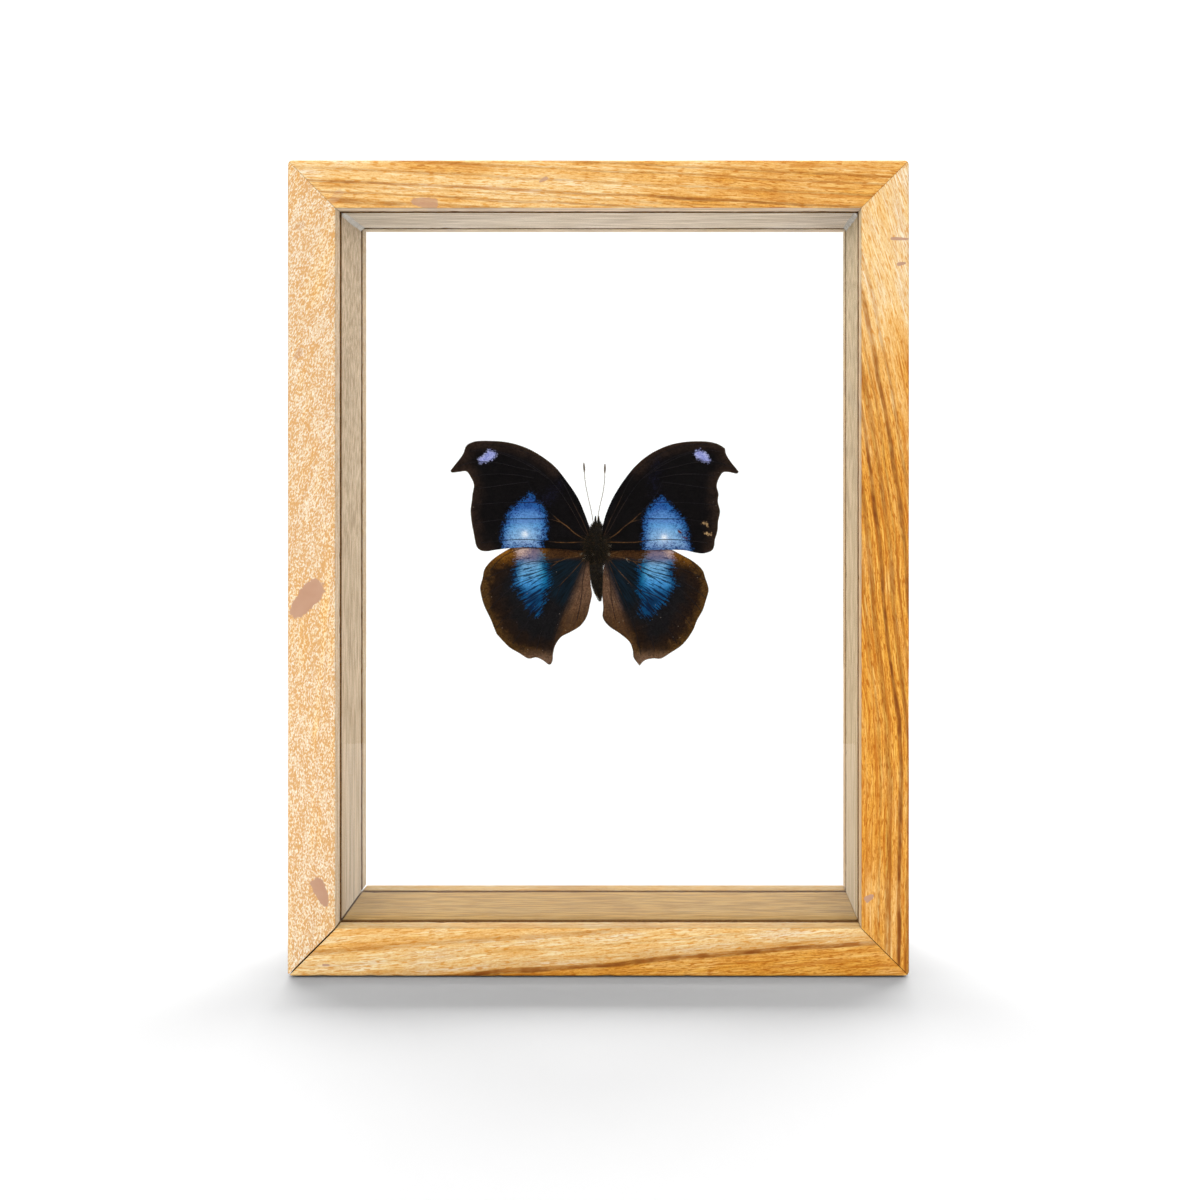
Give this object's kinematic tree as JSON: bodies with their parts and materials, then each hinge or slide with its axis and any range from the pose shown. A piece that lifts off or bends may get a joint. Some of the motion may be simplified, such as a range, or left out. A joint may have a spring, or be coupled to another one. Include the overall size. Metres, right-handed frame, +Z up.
{
  "type": "framed butterfly specimen",
  "caption": "Dried butterfly with spread wings, fixed between glass panes in a small free-standing wooden frame with mitred corners, to be seen from both sides.",
  "frame": {"origin": "middle of the bottom rail's underside, on the surface that the frame stands on", "axes": "+Z up, +X to the right of a viewer who faces the butterfly's upper side, +Y away from that viewer, through the glass"},
  "size_m": [0.16, 0.04, 0.21],
  "materials": {
    "wood_pale": "sanded, unvarnished, pale cream with orange flecks",
    "wood_orange": "sanded, unvarnished, orange with long dark grain lines",
    "glass": "clear polished sheet glass",
    "clear_glue": "clear hardened glue, glossy",
    "body_fur": "fine dry hair, matt",
    "forewing": "scales, near black with a blue band and a violet spot",
    "hindwing": "scales, olive brown with a blue band",
    "antenna": "dry, slightly glossy horn"
  },
  "bodies": {
    "root": {"stile_left": "wood_pale", "rail_bottom": "wood_pale", "stile_right": "wood_orange", "rail_top": "wood_orange", "glass_front": "glass", "glass_back": "glass", "glue_fillet_left": "clear_glue", "glue_fillet_right": "clear_glue", "adhesive": "clear_glue", "body": "body_fur", "forewing_left": "forewing", "forewing_right": "forewing", "hindwing_left": "hindwing", "hindwing_right": "hindwing", "antenna_left": "antenna", "antenna_right": "antenna"}
  },
  "joints": []
}
